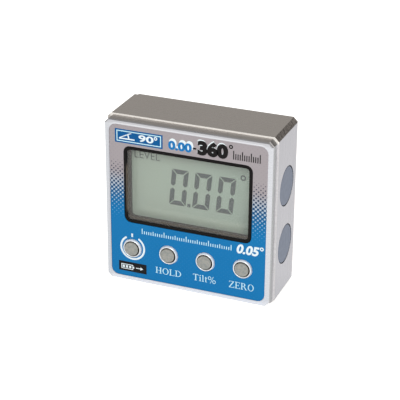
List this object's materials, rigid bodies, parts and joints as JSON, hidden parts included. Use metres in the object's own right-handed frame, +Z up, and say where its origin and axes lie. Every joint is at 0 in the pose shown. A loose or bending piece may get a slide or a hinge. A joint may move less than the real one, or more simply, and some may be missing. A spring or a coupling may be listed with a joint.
{
  "type": "digital angle gauge",
  "caption": "Square aluminium angle gauge with a recessed display, round keys in raised collars, and flush magnets in its side and bottom edges.",
  "frame": {"origin": "under the middle of the gauge, on the bottom edge face that it stands on", "axes": "+X to the right seen from the front, +Y from the front to the back, +Z up"},
  "size_m": [0.06, 0.026, 0.06],
  "materials": {
    "aluminium_milled": "finely milled",
    "aluminium_bright": "bright milled",
    "cap_metal": "satin",
    "label_print": "satin print",
    "black_rubber": "satin",
    "gray_silicone": "matte",
    "dark_plastic": "moulded",
    "clear_pane": "clear",
    "display_glass": "gray-green display",
    "board_green": "solder mask",
    "screw_steel": "plated",
    "magnet_nickel": "satin plated",
    "chip_black": "moulded",
    "battery_pouch": "foil",
    "foam_pad": "foam",
    "white_plastic": "moulded",
    "red_wire": "wire insulation",
    "black_wire": "wire insulation"
  },
  "bodies": {
    "housing": {"body_housing": "aluminium_milled", "front_bezel": "aluminium_bright", "front_label": "label_print", "window_gasket": "black_rubber", "window_pane": "clear_pane", "display_carrier": "dark_plastic", "lcd_glass": "display_glass", "contact_strip_upper": "gray_silicone", "contact_strip_lower": "gray_silicone", "main_board": "board_green", "key_mat": "gray_silicone", "switch_power": "chip_black", "switch_hold": "chip_black", "switch_tilt": "chip_black", "switch_zero": "chip_black", "usb_socket": "screw_steel", "processor": "chip_black", "tilt_sensor": "screw_steel", "battery_header": "white_plastic", "battery_lead_plus": "red_wire", "battery_lead_minus": "black_wire", "battery": "battery_pouch", "battery_pad": "foam_pad", "front_gasket": "black_rubber", "back_gasket": "black_rubber", "back_cover": "aluminium_milled", "cover_screw_1": "screw_steel", "cover_screw_2": "screw_steel", "cover_screw_3": "screw_steel", "cover_screw_4": "screw_steel", "bezel_screw_1": "screw_steel", "bezel_screw_2": "screw_steel", "bezel_screw_3": "screw_steel", "bezel_screw_4": "screw_steel", "board_screw_1": "screw_steel", "board_screw_2": "screw_steel", "board_screw_3": "screw_steel", "board_screw_4": "screw_steel", "magnet_right_upper": "magnet_nickel", "magnet_right_lower": "magnet_nickel", "magnet_left_upper": "magnet_nickel", "magnet_left_lower": "magnet_nickel", "magnet_bottom_left": "magnet_nickel", "magnet_bottom_right": "magnet_nickel"},
    "power_key": {"button_power": "cap_metal"},
    "hold_key": {"button_hold": "cap_metal"},
    "tilt_key": {"button_tilt": "cap_metal"},
    "zero_key": {"button_zero": "cap_metal"}
  },
  "joints": [
    {"name": "power_press", "type": "slide", "parent": "housing", "child": "power_key", "axis": [0, 1, 0], "range_m": [0, 0.0004], "stiffness_N_per_m": 2000},
    {"name": "hold_press", "type": "slide", "parent": "housing", "child": "hold_key", "axis": [0, 1, 0], "range_m": [0, 0.0004], "stiffness_N_per_m": 2000},
    {"name": "tilt_press", "type": "slide", "parent": "housing", "child": "tilt_key", "axis": [0, 1, 0], "range_m": [0, 0.0004], "stiffness_N_per_m": 2000},
    {"name": "zero_press", "type": "slide", "parent": "housing", "child": "zero_key", "axis": [0, 1, 0], "range_m": [0, 0.0004], "stiffness_N_per_m": 2000}
  ]
}
